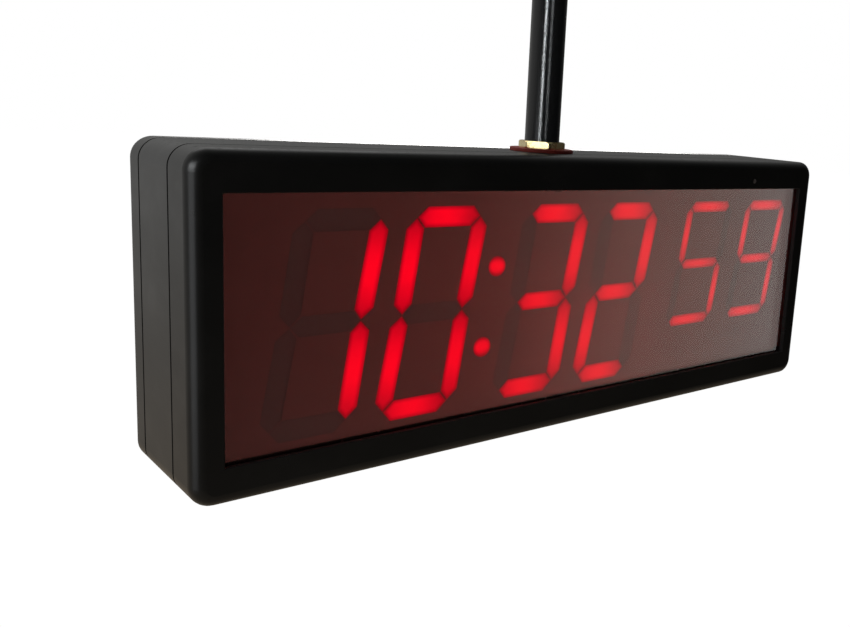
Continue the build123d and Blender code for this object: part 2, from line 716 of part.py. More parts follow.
def drop_tube():
    """Steel conduit, threaded at the foot where the two locknuts grip the case."""
    top = CEILING_Z + FLANGE_SEAT - 0.05
    tube = post(TUBE_R, TUBE_END_Z, top) - post(TUBE_BORE_R, TUBE_END_Z - 1, top + 1)
    pitch = 1.5
    z = TUBE_END_Z + pitch
    while z < PAD_LOW - 6:
        groove = post(TUBE_R + 1, z - 0.35, z + 0.35) - post(TUBE_R - 0.7, z - 0.4, z + 0.4)
        tube -= groove
        z += pitch
    return tube


def tube_end_bush():
    """Plastic bush that keeps the tube's cut edge off the cable."""
    body = post(TUBE_BORE_R - 0.04, TUBE_END_Z, TUBE_END_Z + 6) + post(11.0, TUBE_END_Z - 2, TUBE_END_Z)
    body = fillet(body.faces().sort_by(Axis.Z)[0].edges(), 0.8)
    return body - post(4.5, TUBE_END_Z - 3, TUBE_END_Z + 7)


def supply_cable_upper():
    return post(CABLE_R, CABLE_SPLIT_Z, CEILING_Z - 0.5)


def ceiling_flange():
    top = CEILING_Z
    body = post(FLANGE_R, top - FLANGE_PLATE, top)
    body = fillet(body.faces().sort_by(Axis.Z)[0].edges(), 1.5)
    body += post(FLANGE_BOSS_R, top + FLANGE_BOSS_LOW, top - FLANGE_PLATE)
    root = body.edges().filter_by(GeomType.CIRCLE).filter_by_position(
        Axis.Z, top - FLANGE_PLATE - 0.1, top - FLANGE_PLATE + 0.1
    )
    body = fillet(root.sort_by(SortBy.RADIUS)[0], 3.0)
    body = fillet(body.faces().sort_by(Axis.Z)[0].edges(), 1.2)
    body -= post(TUBE_R + 0.05, top + FLANGE_BOSS_LOW - 1, top + FLANGE_SEAT)
    body -= post(TUBE_BORE_R - 0.5, top + FLANGE_SEAT - 1, top + 1)
    for turn in range(45, 360, 90):
        x = TUBE_X + FLANGE_PCD / 2 * cos(radians(turn))
        y = FLANGE_PCD / 2 * sin(radians(turn))
        body -= post(FLANGE_HOLE_R, top - FLANGE_PLATE - 1, top + 1, x, y)
    low = top + FLANGE_BOSS_LOW + 6
    return body - rod(TUBE_X, low, GRUB_R + 0.02, -FLANGE_BOSS_R - 1, -TUBE_R)


GRUB_R = 2.5


def flange_grub_screw():
    z = CEILING_Z + FLANGE_BOSS_LOW + 6
    screw = rod(TUBE_X, z, GRUB_R, -FLANGE_BOSS_R + 0.3, -TUBE_R - 0.02)
    socket = slab(Pos(TUBE_X, z) * RegularPolygon(1.4, 6), -FLANGE_BOSS_R - 1, -FLANGE_BOSS_R + 2.6)
    return screw - socket


# ---------------------------------------------------------------- export
def parts():
    yield "ceiling_flange", ceiling_flange()
    yield "flange_grub_screw", flange_grub_screw()
    yield "drop_tube", drop_tube()
    yield "supply_cable_upper", supply_cable_upper()
    yield "outer_locknut", hex_nut(TOP + WASHER, NUT, NUT_FLAT, NUT_TURN)
    yield "fibre_washer", flat_washer(TOP, WASHER, 18.3)
    yield "inner_washer", flat_washer(PAD_LOW - 1.5, 1.5, 13.9)
    yield "inner_locknut", hex_nut(PAD_LOW - 1.5 - NUT, NUT, NUT_FLAT, 0.0)
    yield "tube_end_bush", tube_end_bush()
    yield "front_bezel", front_bezel()
    yield "mid_housing", mid_housing()
    yield "rear_cover", rear_cover()
    yield "case_screws", case_screws()
    yield "window_tape", window_tape()
    yield "display_window", display_window()
    yield "sensor_lens", sensor_lens()
    yield "ir_receiver", ir_receiver()
    yield "reflector_frame", reflector_frame()
    for pair in PAIRS:
        yield f"lit_{pair}", diffusers(pair, True)
        yield f"dark_{pair}", diffusers(pair, False)
    yield "colon_dots", colon_dots()
    yield "display_leds", display_leds()
    yield "display_pcb", display_pcb()
    yield "display_screws", display_screws()
    yield "driver_chips", driver_chips()
    yield "ribbon_plugs", ribbon_plugs()
    yield "ribbon_cable", ribbon_cable()
    yield "controller_pcb", board_blank(CONTROLLER)
    yield "controller_screws", board_screws(CONTROLLER)
    yield "microcontroller", microcontroller()
    yield "clock_chip", clock_chip()
    yield "cell_holder", cell_holder()
    yield "coin_cell", coin_cell()
    yield "buzzer", buzzer()
    yield "key_switches", key_switches()
    for name, x in BUTTONS.items():
        yield f"button_{name}", key_button(x)
        yield f"plunger_{name}", key_plunger(x)
    yield "power_switch_body", power_switch_body()
    yield "power_rocker", power_rocker()
    yield "supply_pcb", board_blank(SUPPLY)
    yield "supply_screws", board_screws(SUPPLY)
    yield "transformer", transformer()
    yield "smoothing_capacitors", smoothing_capacitors()
    yield "mains_fuse", mains_fuse()
    yield "terminal_block", terminal_block()
    yield "supply_cable_lower", supply_cable_lower()
    yield "supply_cores", supply_cores()
    yield "switch_leads", switch_leads()
    yield "low_voltage_leads", low_voltage_leads()


os.makedirs("parts", exist_ok=True)
to_row = Pos(-TUBE_X, 0, -CEILING_Z)
for node, shape in parts():
    export_step(to_row * shape, f"parts/{node}.step")
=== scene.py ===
import json
import math

import bmesh
import bpy
from mathutils import Matrix, Vector


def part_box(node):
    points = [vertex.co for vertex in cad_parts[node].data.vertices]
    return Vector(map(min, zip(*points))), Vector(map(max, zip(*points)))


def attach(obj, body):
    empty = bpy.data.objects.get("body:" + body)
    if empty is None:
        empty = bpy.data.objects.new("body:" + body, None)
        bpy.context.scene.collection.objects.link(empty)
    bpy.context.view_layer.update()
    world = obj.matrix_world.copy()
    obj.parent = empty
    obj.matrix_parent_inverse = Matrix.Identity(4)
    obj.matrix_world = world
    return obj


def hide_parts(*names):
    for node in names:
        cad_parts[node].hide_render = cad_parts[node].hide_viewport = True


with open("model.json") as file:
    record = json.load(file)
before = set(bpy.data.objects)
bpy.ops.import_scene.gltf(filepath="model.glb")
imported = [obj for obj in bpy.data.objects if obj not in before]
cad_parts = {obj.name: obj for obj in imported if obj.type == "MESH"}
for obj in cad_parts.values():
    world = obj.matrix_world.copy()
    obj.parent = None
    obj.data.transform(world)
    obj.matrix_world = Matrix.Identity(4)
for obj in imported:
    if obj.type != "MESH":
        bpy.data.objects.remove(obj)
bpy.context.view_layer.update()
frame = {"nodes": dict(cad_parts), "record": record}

# Metres, in the row frame. The display faces -Y and +Z is up.
MM = 0.001
NODES = frame["nodes"]
BODIES = frame["record"]["behaviour"]["bodies"]
SLOTS = {part["node"]: part["material_slot"] for part in frame["record"]["subparts"]}


def body_of(node):
    """The CAD body that holds a node."""
    return next(body for body, members in BODIES.items() if node in members)


# ---------------------------------------------------------------- node trees
class Shader:
    """One material's node tree, with short calls for the textures that every material needs."""

    def __init__(self, name):
        self.material = bpy.data.materials.new(name)
        self.material.use_nodes = True
        self.tree = self.material.node_tree
        self.bsdf = self.tree.nodes["Principled BSDF"]
        self.point = self.add("ShaderNodeTexCoord").outputs["Object"]

    def add(self, kind, inputs=None, **settings):
        node = self.tree.nodes.new(kind)
        for key, value in settings.items():
            setattr(node, key, value)
        for key, value in (inputs or {}).items():
            self.feed(node.inputs[key], value)
        return node

    def feed(self, socket, value):
        if isinstance(value, bpy.types.NodeSocket):
            self.tree.links.new(value, socket)
        else:
            socket.default_value = value

    def set(self, **values):
        """Feeds the principled shader; underscores in a name stand for spaces."""
        for key, value in values.items():
            self.feed(self.bsdf.inputs[key.replace("_", " ")], value)
        return self

    def noise(self, scale, detail=3.0, roughness=0.5, stretch=(1, 1, 1)):
        place = self.add("ShaderNodeMapping", {"Vector": self.point, "Scale": stretch})
        inputs = {"Vector": place.outputs[0], "Scale": scale}
        inputs |= {"Detail": detail, "Roughness": roughness}
        return self.add("ShaderNodeTexNoise", inputs).outputs["Fac"]

    def cells(self, scale, feature="F1"):
        inputs = {"Vector": self.point, "Scale": scale}
        return self.add("ShaderNodeTexVoronoi", inputs, feature=feature).outputs["Distance"]

    def waves(self, scale, direction):
        inputs = {"Vector": self.point, "Scale": scale}
        return self.add("ShaderNodeTexWave", inputs, bands_direction=direction).outputs["Fac"]

    def spread(self, value, low, high, to_low=0.0, to_high=1.0):
        """Maps low..high of a value onto to_low..to_high, clamped and eased."""
        inputs = {0: value, 1: low, 2: high, 3: to_low, 4: to_high}
        return self.add("ShaderNodeMapRange", inputs, interpolation_type="SMOOTHSTEP").outputs[0]

    def calc(self, operation, a, b=0.0):
        return self.add("ShaderNodeMath", {0: a, 1: b}, operation=operation).outputs[0]

    def mix(self, share, a, b):
        node = self.add("ShaderNodeMix", data_type="RGBA")
        colours = [tuple(c) + (1.0,) if isinstance(c, tuple) and len(c) == 3 else c for c in (a, b)]
        self.feed(node.inputs[0], share)
        self.feed(node.inputs[6], colours[0])
        self.feed(node.inputs[7], colours[1])
        return node.outputs[2]

    def axis(self, name, of="point"):
        """One component of the surface point or of its normal."""
        source = self.point
        if of == "normal":
            source = self.add("ShaderNodeNewGeometry").outputs["Normal"]
        return self.add("ShaderNodeSeparateXYZ", {0: source}).outputs[name]

    def bumps(self, *layers):
        """Stacks bump layers, each (height, strength, depth in metres)."""
        normal = None
        for height, strength, depth in layers:
            inputs = {"Height": height, "Strength": strength, "Distance": depth}
            if normal is not None:
                inputs["Normal"] = normal
            normal = self.add("ShaderNodeBump", inputs).outputs[0]
        return self.set(Normal=normal)


# ---------------------------------------------------------------- materials that show
CASE_GLOSS = 0.50
BEZEL_GLOSS = 0.37
# How much each face of the window blocks, least and most. Light crosses two faces.
WINDOW_BLOCKS = (0.385, 0.395)
# A lit segment's emission at its core, and what is left of it at the tips, at the rim and when it
# is seen at a slant.
GLOW = 3.0
GLOW_AT_TIP = 0.52
GLOW_AT_RIM = 0.40
GLOW_AT_SLANT = 0.62
RIBBON_RED_EDGE = 1.2 * MM


def case_plastic(name, gloss):
    """Satin black ABS: moulded grain, faint flow marks, dust on upward faces, rubbed patches."""
    s = Shader(name)
    flow = s.noise(9, 4, 0.6, (1, 1, 2.5))
    grain = s.noise(1700, 2, 0.5)
    rubbed = s.spread(s.noise(26, 5, 0.65), 0.45, 0.7)
    upward = s.spread(s.axis("Z", "normal"), 0.75, 1.0)
    dust = s.calc("MULTIPLY", upward, s.spread(s.noise(420, 3, 0.7), 0.5, 0.72))
    tone = s.mix(flow, (0.0055, 0.0055, 0.0054), (0.0085, 0.0082, 0.0078))
    tone = s.mix(s.calc("MULTIPLY", rubbed, 0.35), tone, (0.0150, 0.0145, 0.0140))
    tone = s.mix(s.calc("MULTIPLY", dust, 0.10), tone, (0.13, 0.125, 0.115))
    polish = s.calc("MULTIPLY", rubbed, -0.04)
    roughness = s.calc("ADD", s.spread(flow, 0.3, 0.7, 0.29, 0.36), polish)
    roughness = s.calc("ADD", roughness, s.calc("MULTIPLY", dust, 0.2))
    s.set(Base_Color=tone, Roughness=roughness, IOR=1.5, Specular_IOR_Level=gloss)
    s.bumps((s.noise(40, 2, 0.5), 0.05, 0.0005), (grain, 0.10, 0.00006))
    return s.material


def smoked_acrylic():
    """Glossy smoked red sheet: dark tint, smooth skin with faint wipe marks and a little dust."""
    s = Shader("smoked_acrylic")
    wipe = s.noise(18, 5, 0.7, (1, 1, 5))
    specks = s.spread(s.cells(700), 0.05, 0.012)
    tone = s.mix(s.noise(6, 3, 0.5), (0.040, 0.0070, 0.0065), (0.046, 0.0090, 0.0080))
    tone = s.mix(s.calc("MULTIPLY", specks, 0.05), tone, (0.3, 0.27, 0.25))
    s.set(Base_Color=tone, IOR=1.49, Specular_IOR_Level=1.0)
    s.set(Alpha=s.spread(wipe, 0.3, 0.7, *WINDOW_BLOCKS))
    s.set(Roughness=s.spread(wipe, 0.35, 0.75, 0.09, 0.13))
    s.bumps((s.noise(5, 2, 0.5), 0.02, 0.0005))
    return s.material


def powder_coat():
    """Black powder coat with its orange-peel skin and pinhead texture."""
    s = Shader("powder_coat")
    peel = s.noise(1500, 2, 0.5)
    pin = s.cells(2100, "SMOOTH_F1")
    broad = s.noise(30, 4, 0.6, (1, 1, 0.4))
    tone = s.mix(s.spread(pin, 0.15, 0.6), (0.0085, 0.0088, 0.0092), (0.0040, 0.0040, 0.0042))
    worn = s.calc("MULTIPLY", s.spread(broad, 0.5, 0.75), 0.25)
    tone = s.mix(worn, tone, (0.012, 0.012, 0.012))
    s.set(Base_Color=tone, Roughness=s.spread(broad, 0.3, 0.7, 0.10, 0.12), IOR=1.52)
    s.bumps((peel, 0.8, 0.00010), (pin, 0.30, 0.00006))
    return s.material


def brass():
    """Turned brass: fine lathe lines, warm tarnish in patches, brighter rubbed areas."""
    s = Shader("brass")
    tarnish = s.spread(s.noise(190, 5, 0.65), 0.42, 0.68)
    lines = s.noise(900, 2, 0.6, (1, 1, 9))
    tone = s.mix(tarnish, (0.96, 0.84, 0.46), (0.80, 0.58, 0.28))
    s.set(Base_Color=tone, Metallic=1.0, Roughness=s.spread(tarnish, 0.0, 1.0, 0.20, 0.34))
    s.bumps((lines, 0.12, 0.00005), (s.noise(300, 3, 0.6), 0.06, 0.00010))
    return s.material


def red_fibre():
    """Vulcanised red fibre sheet: short fibres pressed flat, slightly furry cut edge."""
    s = Shader("red_fibre")
    fibres = s.noise(1100, 4, 0.7, (1, 1, 4))
    mottle = s.noise(160, 3, 0.6)
    tone = s.mix(mottle, (0.46, 0.050, 0.038), (0.56, 0.080, 0.060))
    tone = s.mix(s.calc("MULTIPLY", s.spread(fibres, 0.5, 0.75), 0.5), tone, (0.36, 0.012, 0.010))
    s.set(Base_Color=tone, Roughness=s.spread(fibres, 0.3, 0.7, 0.50, 0.68))
    s.bumps((fibres, 0.5, 0.00020))
    return s.material


def glowing_guide():
    """A lit segment: hot over its light source, falling off towards its ends and its rim, and
    dimmer when seen at a slant. The attributes that light_guides writes say where a point lies."""
    s = Shader("lit_red")
    core = s.add("ShaderNodeAttribute", attribute_name="core").outputs["Fac"]
    middle = s.add("ShaderNodeAttribute", attribute_name="middle").outputs["Vector"]
    reach = s.add("ShaderNodeAttribute", attribute_name="reach").outputs["Vector"]
    away = s.add("ShaderNodeVectorMath", {0: s.point, 1: middle}, operation="SUBTRACT").outputs[0]
    along = s.add("ShaderNodeVectorMath", {0: away, 1: reach}, operation="DOT_PRODUCT")
    run = along.outputs["Value"]
    fade = s.spread(s.calc("ABSOLUTE", run), 0.10, 1.10, 1.0, GLOW_AT_TIP)
    body = s.spread(core, 0.0, 0.9, GLOW_AT_RIM, 1.0)
    haze = s.spread(s.noise(240, 2, 0.5), 0.3, 0.7, 0.95, 1.0)
    slanted = s.add("ShaderNodeLayerWeight", {"Blend": 0.5}).outputs["Facing"]
    level = s.calc("MULTIPLY", s.calc("MULTIPLY", fade, body), haze)
    level = s.calc("MULTIPLY", level, s.spread(slanted, 0.0, 0.5, 1.0, GLOW_AT_SLANT))
    tone = s.mix(level, (0.90, 0.0, 0.022), (1.0, 0.0, 0.011))
    s.set(Base_Color=(0.06, 0.001, 0.002, 1), Roughness=0.4, Emission_Color=tone)
    s.set(Emission_Strength=s.calc("MULTIPLY", level, GLOW))
    s.bumps((s.noise(900, 2, 0.5), 0.10, 0.0001))
    return s.material


def dark_guide():
    """An unlit segment: smoked translucent insert."""
    s = Shader("dark_segment")
    core = s.add("ShaderNodeAttribute", attribute_name="core").outputs["Fac"]
    tone = s.mix(s.spread(core, 0.0, 0.6), (0.086, 0.0215, 0.0200), (0.100, 0.0250, 0.0230))
    roughness = s.spread(s.noise(500, 3, 0.6), 0.3, 0.7, 0.7, 0.85)
    s.set(Base_Color=tone, Roughness=roughness, Specular_IOR_Level=0.15)
    s.bumps((s.noise(900, 2, 0.5), 0.2, 0.0001))
    return s.material


def reflector():
    """The matt moulding between the segments."""
    s = Shader("reflector")
    tone = s.mix(s.noise(60, 3, 0.6), (0.136, 0.0265, 0.0245), (0.146, 0.0300, 0.0270))
    roughness = s.spread(s.noise(800, 2, 0.5), 0.3, 0.7, 0.78, 0.9)
    s.set(Base_Color=tone, Roughness=roughness, Specular_IOR_Level=0.10)
    s.bumps((s.noise(1500, 2, 0.5), 0.15, 0.00005))
    return s.material


def sensor_dark():
    """Infrared-pass plastic, near black with a grey-violet sheen: a painted sheen in its lighter
    grey base colour, added to the real gloss of its low roughness.
    """
    s = Shader("sensor_dark")
    # Painted sheen: a grey-violet base colour far lighter than the near-black plastic.
    tone = s.mix(s.noise(900, 3, 0.6), (0.16, 0.15, 0.16), (0.24, 0.22, 0.23))
    roughness = s.spread(s.noise(700, 2, 0.5), 0.3, 0.7, 0.08, 0.16)
    s.set(Base_Color=tone, Roughness=roughness, IOR=1.6)
    s.bumps((s.noise(1200, 2, 0.5), 0.05, 0.0001))
    return s.material


# ---------------------------------------------------------------- simpler materials, one recipe
def moulded(
    name,
    colour,
    roughness,
    metallic=0.0,
    grain=1200,
    depth=0.0001,
    contrast=0.25,
    stretch=(1, 1, 1),
):
    """A part with its own colour, small tone changes, grained roughness and bump."""
    s = Shader(name)
    drift = s.noise(grain * 0.05, 4, 0.6)
    fine = s.noise(grain, 3, 0.6, stretch)
    darker = tuple(c * (1 - contrast) for c in colour)
    lighter = tuple(min(1.0, c * (1 + contrast)) for c in colour)
    s.set(Base_Color=s.mix(drift, darker, lighter), Metallic=metallic)
    s.set(Roughness=s.spread(fine, 0.3, 0.7, roughness * 0.85, min(1.0, roughness * 1.15)))
    s.bumps((fine, 0.3, depth))
    return s.material


def circuit_board():
    """Green solder mask over tracks, with bright pads."""
    s = Shader("circuit_board")
    place = s.add("ShaderNodeMapping", {"Vector": s.point, "Rotation": (math.radians(90), 0, 0)})
    inputs = {"Vector": place.outputs[0], "Scale": 90.0, "Mortar Size": 0.03, "Brick Width": 0.9}
    tracks = s.add("ShaderNodeTexBrick", inputs).outputs["Fac"]
    pads = s.spread(s.cells(210), 0.20, 0.16)
    tone = s.mix(s.noise(40, 3, 0.5), (0.010, 0.110, 0.040), (0.014, 0.140, 0.055))
    tone = s.mix(s.calc("MULTIPLY", tracks, 0.7), tone, (0.025, 0.230, 0.090))
    tone = s.mix(s.calc("MULTIPLY", pads, 0.8), tone, (0.60, 0.58, 0.52))
    s.set(Base_Color=tone, Roughness=s.spread(pads, 0.0, 1.0, 0.35, 0.25))
    s.bumps((tracks, 0.3, 0.00005), (pads, 0.4, 0.0001))
    return s.material


def ribbon_grey():
    """Flat ribbon: a ridge for each conductor and one red edge."""
    s = Shader("ribbon_grey")
    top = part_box("ribbon_cable")[1].z
    ridges = s.waves(250, "Z")
    edge = s.calc("GREATER_THAN", s.axis("Z"), top - RIBBON_RED_EDGE)
    tone = s.mix(ridges, (0.30, 0.30, 0.31), (0.42, 0.42, 0.43))
    s.set(Base_Color=s.mix(edge, tone, (0.5, 0.02, 0.02)))
    s.set(Roughness=s.spread(ridges, 0.0, 1.0, 0.4, 0.5))
    s.bumps((ridges, 0.8, 0.0003))
    return s.material


SIMPLE = {
    "zinc_steel": dict(
        colour=(0.58, 0.58, 0.56), roughness=0.36, metallic=1.0, grain=900, contrast=0.12
    ),
    "black_screws": dict(
        colour=(0.030, 0.030, 0.032), roughness=0.38, metallic=0.6, grain=1400
    ),
    "black_plastic": dict(colour=(0.020, 0.020, 0.021), roughness=0.42, grain=1500),
    "tape": dict(colour=(0.035, 0.035, 0.035), roughness=0.85, grain=700, depth=0.0003),
    "led_package": dict(colour=(0.72, 0.70, 0.60), roughness=0.35, contrast=0.08),
    "chip_black": dict(colour=(0.022, 0.022, 0.024), roughness=0.55, grain=1800),
    "connector_cream": dict(colour=(0.72, 0.68, 0.56), roughness=0.45, contrast=0.10),
    "cell_steel": dict(
        colour=(0.66, 0.66, 0.65), roughness=0.24, metallic=1.0, stretch=(1, 1, 6), contrast=0.08
    ),
    "button_grey": dict(
        colour=(0.105, 0.105, 0.110), roughness=0.46, grain=1600, contrast=0.12
    ),
    "rocker_black": dict(colour=(0.016, 0.016, 0.017), roughness=0.24, grain=1100),
    "transformer_tape": dict(
        colour=(0.60, 0.42, 0.05), roughness=0.38, grain=500, stretch=(8, 1, 1)
    ),
    "capacitor_sleeve": dict(colour=(0.020, 0.026, 0.055), roughness=0.30, grain=900),
    "fuse_glass": dict(colour=(0.70, 0.69, 0.66), roughness=0.30, contrast=0.08),
    "terminal_green": dict(colour=(0.016, 0.200, 0.060), roughness=0.42),
    "cable_sheath": dict(colour=(0.018, 0.018, 0.019), roughness=0.50, stretch=(1, 1, 0.2)),
    "core_copper": dict(colour=(0.30, 0.11, 0.04), roughness=0.42),
    "lead_red": dict(colour=(0.42, 0.010, 0.010), roughness=0.40),
}
MATERIALS = {name: moulded(name, **recipe) for name, recipe in SIMPLE.items()}
MATERIALS["case_plastic"] = case_plastic("case_plastic", CASE_GLOSS)
MATERIALS["smoked_acrylic"] = smoked_acrylic()
MATERIALS["powder_coat"] = powder_coat()
MATERIALS["brass"] = brass()
MATERIALS["red_fibre"] = red_fibre()
MATERIALS["lit_red"] = glowing_guide()
MATERIALS["dark_segment"] = dark_guide()
MATERIALS["reflector"] = reflector()
MATERIALS["sensor_dark"] = sensor_dark()
MATERIALS["circuit_board"] = circuit_board()
MATERIALS["ribbon_grey"] = ribbon_grey()
for node, carried in NODES.items():
    carried.data.materials.clear()
    carried.data.materials.append(MATERIALS[SLOTS[node]])
NODES["front_bezel"].data.materials[0] = case_plastic("bezel_plastic", BEZEL_GLOSS)


# ---------------------------------------------------------------- light guides of the display
# Where a segment's light source shows through its face, seen from the display's left.
HOT_SPOT = Vector((-2.5, 0, 0)) * MM
# How far in from its outline a segment reaches full brightness, as a share of its stroke.
CORE_INSET = 0.36
# The rounded face in steps: each step's inset as a share of the stroke, and its rise as a share of
# half the stroke.
FACE_STEPS = ((0.05, 0.02), (0.07, 0.02), (0.08, 0.012), (0.08, 0.008), (0.08, 0.004))
WIDEST_STROKE = 10 * MM
SHARP_ANGLE = 40
# Points closer than this are one point, and points this near the front are on the front outline.
SAME_POINT = 0.001 * MM
ON_FRONT = 0.01 * MM


def front_outlines(node):
    """Each solid's front outline in a CAD node, as points in order round its middle."""
    work = bmesh.new()
    work.from_mesh(NODES[node].data)
    bmesh.ops.remove_doubles(work, verts=work.verts, dist=SAME_POINT)
    front = min(v.co.y for v in work.verts)
    waiting = {v for v in work.verts if v.co.y < front + ON_FRONT}
    loops = []
    while waiting:
        group, edge = set(), {waiting.pop()}
        while edge:
            vert = edge.pop()
            group.add(vert)
            near = {e.other_vert(vert) for e in vert.link_edges}
            edge |= near & waiting
            waiting -= near
        points = [v.co.copy() for v in group]
        middle = sum(points, Vector()) / len(points)
        points.sort(key=lambda p: math.atan2(p.z - middle.z, p.x - middle.x))
        loops.append(points)
    work.free()
    return sorted(loops, key=lambda loop: (round(loop[0].x, 5), round(loop[0].z, 5)))


def light_guides(node):
    """Rounded inserts in a CAD node's outlines, with attributes for the glow: how near the core a
    point is, and the middle and the run of its segment."""
    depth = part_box(node)[1].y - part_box(node)[0].y
    work = bmesh.new()
    core = work.verts.layers.float.new("core")
    middle = work.verts.layers.float_vector.new("middle")
    reach = work.verts.layers.float_vector.new("reach")
    for loop in front_outlines(node):
        centre = sum(loop, Vector()) / len(loop)
        tip = max(loop, key=lambda p: (p - centre).length)
        nearest = min((p - centre).length for p in loop)
        half = (tip - centre).length
        stroke = min(2 * nearest, WIDEST_STROKE)
        front = [work.verts.new(p) for p in loop]
        back = [work.verts.new(p + Vector((0, depth, 0))) for p in loop]
        count = len(loop)
        for i in range(count):
            j = (i + 1) % count
            work.faces.new((front[i], front[j], back[j], back[i]))
        work.faces.new(back)
        cap = work.faces.new(list(reversed(front)))
        made = set(front + back)
        inside = 0.0
        for step, rise in FACE_STEPS:
            result = bmesh.ops.inset_region(
                work,
                faces=[cap],
                thickness=step * stroke,
                depth=rise * stroke * 0.5,
                use_even_offset=True,
            )
            ring = set(cap.verts)
            around = {v for f in result["faces"] for v in f.verts} - ring
            for v in around:
                v[core] = inside / CORE_INSET
            inside += step
            for v in ring:
                v[core] = min(1.0, inside / CORE_INSET)
            made |= ring | around
        for v in made:
            v[middle] = centre + HOT_SPOT
            v[reach] = (tip - centre) / half ** 2
    bmesh.ops.recalc_face_normals(work, faces=work.faces)
    mesh = bpy.data.meshes.new(node + "_guides")
    work.to_mesh(mesh)
    work.free()
    mesh.shade_smooth()
    mesh.set_sharp_from_angle(angle=math.radians(SHARP_ANGLE))
    mesh.materials.append(MATERIALS[SLOTS[node]])
    piece = bpy.data.objects.new(node + "_guides", mesh)
    bpy.context.scene.collection.objects.link(piece)
    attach(piece, body_of(node))
    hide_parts(node)
    return piece


REPLACED = {}
for node in NODES:
    if SLOTS[node] in ("lit_red", "dark_segment"):
        REPLACED[node] = light_guides(node)


# ---------------------------------------------------------------- camera
case_low = Vector(map(min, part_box("front_bezel")[0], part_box("rear_cover")[0]))
case_high = Vector(map(max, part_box("front_bezel")[1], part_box("rear_cover")[1]))
case_middle = (case_low + case_high) / 2
CAMERA_FROM_CASE = Vector((-0.3424, -0.4138, 0.1025))
CAMERA_YAW = -43.81
CAMERA_PITCH = 10.82
CAMERA_ROLL = 4.115
CAMERA_LENS = 38.54
CAMERA_SHIFT = {"shift_x": -0.2121, "shift_y": -0.0317}
# The camera counts as moved once it is this far from its place.
CAMERA_MOVED = 0.001


def make_camera():
    """The view from the display's left and a little above. The lens shift holds only at this place,
    so that a camera moved elsewhere looks straight at the object."""
    data = bpy.data.cameras.new("camera")
    camera = bpy.data.objects.new("camera", data)
    bpy.context.scene.collection.objects.link(camera)
    turn = Matrix.Rotation(math.radians(CAMERA_YAW), 4, "Z")
    tilt = Matrix.Rotation(math.radians(90 - CAMERA_PITCH), 4, "X")
    roll = Matrix.Rotation(math.radians(CAMERA_ROLL), 4, "Z")
    camera.matrix_world = Matrix.Translation(case_middle + CAMERA_FROM_CASE) @ turn @ tilt @ roll
    data.sensor_width = 36
    data.lens = CAMERA_LENS
    data.clip_start = 0.01
    for name, amount in CAMERA_SHIFT.items():
        driver = data.driver_add(name).driver
        driver.type = "SCRIPTED"
        place = driver.variables.new()
        place.name = "x"
        place.targets[0].id = camera
        place.targets[0].data_path = "location.x"
        home = camera.location.x
        driver.expression = f"{amount} if abs(x - {home:.4f}) < {CAMERA_MOVED} else 0.0"
    bpy.context.scene.camera = camera


make_camera()


# ---------------------------------------------------------------- stage and light
FLOOR_SIZE = 30
FLOOR_DROP = 0.75
FLOOR_WHITE = 1.02
# The room's brightness in front of the object and behind it, between these two directions in Y.
ROOM_FRONT = 0.012
ROOM_BEHIND = 0.42
ROOM_TURNS = (-0.55, 0.70)
# The floor's share of light in the room's lower half, and its own glow nearest straight down.
GROUND_SHADE = 0.62
GROUND_GLOW = 0.26
# A low band on the right has this share of the room's brightness.
LOW_RIGHT_SHARE = 0.30
# The card that the window mirrors. Its places in X are measured from the case's middle.
CARD_SIZE = (2.4, 1.5)
CARD_PLACE = (1.9, -1.5, -0.4)
CARD_FADE = (0.85, 1.98)
CARD_FAR_END = (1.75, 2.35)
CARD_RADIANCE = 1.36
CARD_FAR_GAIN = 1.35
CARD_NEAR_COLOUR = (1.0, 0.90, 0.80, 1)
CARD_FAR_COLOUR = (1.0, 1.02, 1.00, 1)


def sheet(name, width, depth, place, material):
    """A flat staging sheet facing up."""
    mesh = bpy.data.meshes.new(name)
    half = Vector((width / 2, depth / 2, 0))
    x, y = half.x, half.y
    corners = [(-x, -y, 0), (x, -y, 0), (x, y, 0), (-x, y, 0)]
    mesh.from_pydata(corners, [], [(0, 1, 2, 3)])
    mesh.materials.append(material)
    made = bpy.data.objects.new(name, mesh)
    made.location = place
    bpy.context.scene.collection.objects.link(made)


def seen_only(shader, colour, strength):
    """Adds a flat colour that only the camera sees; other rays get nothing from the surface."""
    path = shader.add("ShaderNodeLightPath")
    flat = shader.add("ShaderNodeEmission", {"Color": colour, "Strength": strength})
    clear = shader.add("ShaderNodeBsdfTransparent")
    inputs = {0: path.outputs["Is Camera Ray"], 1: clear.outputs[0], 2: flat.outputs[0]}
    pick = shader.add("ShaderNodeMixShader", inputs)
    shader.feed(shader.tree.nodes["Material Output"].inputs[0], pick.outputs[0])
    return shader.material


def floor_material():
    s = Shader("floor")
    tone = s.mix(s.noise(3, 2, 0.5), (0.99, 0.99, 0.99), (1.0, 1.0, 1.0))
    return seen_only(s, tone, FLOOR_WHITE)


def aim(thing, place):
    """Puts a light at a place measured from the case's middle and turns it to face the case."""
    thing.location = case_middle + Vector(place)
    thing.rotation_mode = "QUATERNION"
    thing.rotation_quaternion = (-Vector(place)).to_track_quat("-Z", "Y")


def softbox(name, place, size, radiance, colour, only):
    """An area light, width by height in metres, aimed at the case and unseen by the camera. `only`
    lists the nodes that it lights, if not all."""
    data = bpy.data.lights.new(name, "AREA")
    data.shape = "RECTANGLE"
    data.size, data.size_y = size
    data.energy = radiance * math.pi * size[0] * size[1]
    data.color = colour
    light = bpy.data.objects.new(name, data)
    aim(light, place)
    light.visible_camera = False
    bpy.context.scene.collection.objects.link(light)
    if only:
        keep_to(light, only)


def keep_to(light, nodes):
    """Lets a light reach only the listed nodes."""
    chosen = bpy.data.collections.new(light.name + "_lights")
    for node in nodes:
        chosen.objects.link(REPLACED.get(node, NODES[node]))
    light.light_linking.receiver_collection = chosen


